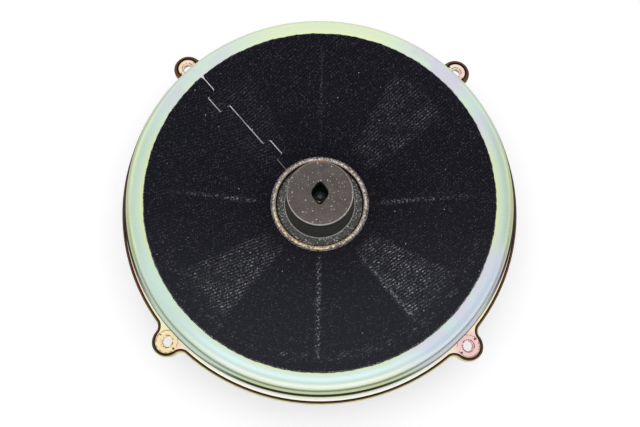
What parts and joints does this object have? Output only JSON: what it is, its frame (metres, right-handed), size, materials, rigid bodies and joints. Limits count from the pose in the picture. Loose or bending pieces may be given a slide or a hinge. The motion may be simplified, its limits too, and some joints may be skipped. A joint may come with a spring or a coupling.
{
  "type": "car subwoofer",
  "caption": "Shallow round car woofer, motor side up: zinc finished pressed frame with lugs, black cloth over its dish, moulded magnet cover, moving cone below.",
  "frame": {"origin": "centre of the lugs' bolt circle, on the plane that the lugs and the rolled rim stand on", "axes": "+Z along the motor's axis towards the magnet cover, lugs at 45 degrees between +X and +Y, seam at 135 degrees"},
  "size_m": [0.254, 0.254, 0.0598],
  "materials": {
    "zinc_steel": "pressed steel with a yellow zinc finish that shines green, pink and lilac",
    "cloth": "tight black twill with worn ribs and lint",
    "cover_plastic": "dusty black moulded plastic, bare of lettering",
    "plate_coating": "rough black coating with dust",
    "plain_steel": "machined low carbon steel",
    "magnet_plating": "nickel plated neodymium",
    "zinc_bolt": "zinc plating gone dull and grey",
    "zinc_nut": "dark plating with brown worn corners",
    "former_film": "amber polyimide film",
    "copper_wire": "enamelled copper winding",
    "spider_cotton": "resin stiffened cotton, corrugated",
    "cone_pulp": "black pressed paper pulp",
    "cap_pulp": "black pressed paper pulp, smooth",
    "surround_rubber": "matt black rubber",
    "gasket_board": "grey brown gasket board",
    "hard_paper": "brown phenolic paper",
    "tinned_brass": "tinned brass",
    "tinsel_copper": "braided tinsel copper",
    "eyelet_brass": "plain brass",
    "grommet_rubber": "black rubber"
  },
  "bodies": {
    "frame": {"basket_frame": "zinc_steel", "acoustic_cloth": "cloth", "magnet_cover": "cover_plastic", "front_plate": "plate_coating", "yoke_pot": "plain_steel", "magnet": "magnet_plating", "pole_piece": "plain_steel", "pole_bolt": "zinc_bolt", "pole_nut": "zinc_nut", "plate_screws": "zinc_bolt", "spider": "spider_cotton", "spider_ring": "zinc_steel", "surround": "surround_rubber", "gasket": "gasket_board", "terminal_board": "hard_paper", "terminal_positive": "tinned_brass", "terminal_negative": "tinned_brass", "terminal_rivets": "tinned_brass", "tinsel_lead_positive": "tinsel_copper", "tinsel_lead_negative": "tinsel_copper", "wire_grommet": "grommet_rubber"},
    "cone_assembly": {"cone": "cone_pulp", "dust_cap": "cap_pulp", "coil_former": "former_film", "voice_coil": "copper_wire", "lead_eyelets": "eyelet_brass"}
  },
  "joints": [
    {"name": "cone_travel", "type": "slide", "parent": "frame", "child": "cone_assembly", "axis": [0, 0, 1], "range_m": [-0.006, 0.006], "stiffness_N_per_m": 4000, "deforming": ["surround", "spider", "tinsel_lead_positive", "tinsel_lead_negative"]}
  ]
}
